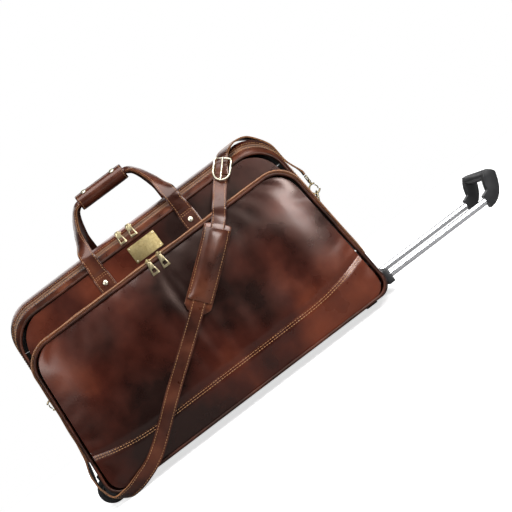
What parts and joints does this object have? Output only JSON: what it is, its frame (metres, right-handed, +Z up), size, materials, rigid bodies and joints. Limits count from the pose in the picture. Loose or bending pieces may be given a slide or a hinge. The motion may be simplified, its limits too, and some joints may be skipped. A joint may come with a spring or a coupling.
{
  "type": "wheeled leather travel bag",
  "caption": "Soft leather travel bag on two wheels with a zipped front pocket, carry handles, a buckled shoulder strap and a telescopic pull handle.",
  "frame": {"origin": "on the floor, under the middle of the bounding box with the pull handle out", "axes": "+X along the bag towards the pull handle, +Z up, the front pocket faces -Y"},
  "size_m": [0.963, 0.3468, 0.5135],
  "materials": {
    "leather": "glossy, hand mottled",
    "brass": "antique, satin",
    "zip_tape": "woven, with brass teeth",
    "tube_metal": "polished",
    "steel": "bright",
    "black_plastic": "fine grain",
    "rubber": "matt",
    "base_board": "matt"
  },
  "bodies": {
    "bag": {"front_panel": "leather", "back_panel": "leather", "front_piping": "leather", "back_piping": "leather", "top_front_band": "leather", "main_zip_tape": "zip_tape", "top_panel": "leather", "wheel_end_panel": "leather", "handle_end_panel": "leather", "base_panel": "leather", "base_board": "base_board", "pocket_gusset": "leather", "pocket_zip_tape": "zip_tape", "pocket_piping": "leather", "pocket_panel": "leather", "pocket_lower_panel": "leather", "front_handle_tab_left": "leather", "front_handle_tab_right": "leather", "back_handle_tab_left": "leather", "back_handle_tab_right": "leather", "name_plate": "brass", "wheel_end_ring_tab": "brass", "wheel_end_d_ring": "brass", "wheel_end_hook": "brass", "handle_end_ring_tab": "brass", "handle_end_d_ring": "brass", "handle_end_hook": "brass", "tube_anchor": "black_plastic", "front_outer_tube": "tube_metal", "back_outer_tube": "tube_metal", "handle_socket": "black_plastic", "front_wheel_housing": "black_plastic", "back_wheel_housing": "black_plastic", "wheel_axle": "steel", "foot_rail": "rubber", "shoulder_strap_long": "leather", "shoulder_strap_short": "leather", "shoulder_pad": "leather", "buckle_frame": "brass"},
    "pull_handle": {"front_inner_tube": "tube_metal", "back_inner_tube": "tube_metal", "pull_grip": "black_plastic"},
    "release_button": {"release_button": "black_plastic"},
    "front_wheel": {"front_wheel": "rubber"},
    "back_wheel": {"back_wheel": "rubber"},
    "front_handle": {"front_handle_strap": "leather", "front_grip_wrap": "leather"},
    "back_handle": {"back_handle_strap": "leather", "back_grip_wrap": "leather"},
    "buckle_prong": {"buckle_prong": "brass"},
    "wheel_end_gate": {"wheel_end_hook_gate": "brass"},
    "handle_end_gate": {"handle_end_hook_gate": "brass"},
    "main_left_slider": {"main_left_slider": "brass"},
    "main_left_pull": {"main_left_pull": "brass"},
    "main_right_slider": {"main_right_slider": "brass"},
    "main_right_pull": {"main_right_pull": "brass"},
    "pocket_left_slider": {"pocket_left_slider": "brass"},
    "pocket_left_pull": {"pocket_left_pull": "brass"},
    "pocket_right_slider": {"pocket_right_slider": "brass"},
    "pocket_right_pull": {"pocket_right_pull": "brass"}
  },
  "joints": [
    {"name": "pull_handle_slide", "type": "slide", "parent": "bag", "child": "pull_handle", "axis": [1, 0, 0], "range_m": [-0.23, 0]},
    {"name": "release_button_press", "type": "slide", "parent": "pull_handle", "child": "release_button", "axis": [1, 0, 0], "range_m": [-0.004, 0], "stiffness_N_per_m": 300, "springref_m": 0.002},
    {"name": "front_wheel_spin", "type": "hinge", "parent": "bag", "child": "front_wheel", "pos_m": [-0.4535, -0.07459, 0.028], "axis": [0, 1, 0], "continuous": true},
    {"name": "back_wheel_spin", "type": "hinge", "parent": "bag", "child": "back_wheel", "pos_m": [-0.4535, 0.12541, 0.028], "axis": [0, 1, 0], "continuous": true},
    {"name": "front_handle_swing", "type": "hinge", "parent": "bag", "child": "front_handle", "pos_m": [-0.1355, -0.09794, 0.36703], "axis": [1, 0, 0], "range_deg": [0, 135]},
    {"name": "back_handle_swing", "type": "hinge", "parent": "bag", "child": "back_handle", "pos_m": [-0.1355, 0.14876, 0.36703], "axis": [1, 0, 0], "range_deg": [-160, 0]},
    {"name": "main_left_zip_slide", "type": "slide", "parent": "bag", "child": "main_left_slider", "axis": [1, 0, 0], "range_m": [-0.045, 0]},
    {"name": "main_left_pull_swing", "type": "hinge", "parent": "main_left_slider", "child": "main_left_pull", "pos_m": [-0.1625, -0.09661, 0.402], "axis": [1, 0, 0], "range_deg": [-100, 0]},
    {"name": "main_right_zip_slide", "type": "slide", "parent": "bag", "child": "main_right_slider", "axis": [1, 0, 0], "range_m": [0, 0.07]},
    {"name": "main_right_pull_swing", "type": "hinge", "parent": "main_right_slider", "child": "main_right_pull", "pos_m": [-0.1385, -0.09661, 0.402], "axis": [1, 0, 0], "range_deg": [-100, 0]},
    {"name": "pocket_left_zip_slide", "type": "slide", "parent": "bag", "child": "pocket_left_slider", "axis": [1, 0, 0], "range_m": [-0.22, 0]},
    {"name": "pocket_left_pull_swing", "type": "hinge", "parent": "pocket_left_slider", "child": "pocket_left_pull", "pos_m": [-0.1475, -0.13912, 0.32], "axis": [1, 0, 0], "range_deg": [-100, 0]},
    {"name": "pocket_right_zip_slide", "type": "slide", "parent": "bag", "child": "pocket_right_slider", "axis": [1, 0, 0], "range_m": [0, 0.065]},
    {"name": "pocket_right_pull_swing", "type": "hinge", "parent": "pocket_right_slider", "child": "pocket_right_pull", "pos_m": [-0.1235, -0.13912, 0.32], "axis": [1, 0, 0], "range_deg": [-100, 0]},
    {"name": "buckle_prong_swing", "type": "hinge", "parent": "bag", "child": "buckle_prong", "pos_m": [0.07469, -0.10467, 0.39076], "axis": [-0.7372, 0.1997, 0.6455], "range_deg": [0, 100]},
    {"name": "wheel_end_gate_open", "type": "hinge", "parent": "bag", "child": "wheel_end_gate", "pos_m": [-0.46913, 0.02541, 0.2099], "axis": [0, 1, 0], "range_deg": [0, 15], "stiffness_Nm_per_rad": 0.02, "springref_deg": -17.19},
    {"name": "handle_end_gate_open", "type": "hinge", "parent": "bag", "child": "handle_end_gate", "pos_m": [0.20035, 0.02541, 0.25211], "axis": [0, 1, 0], "range_deg": [0, 15], "stiffness_Nm_per_rad": 0.02, "springref_deg": -17.19}
  ]
}
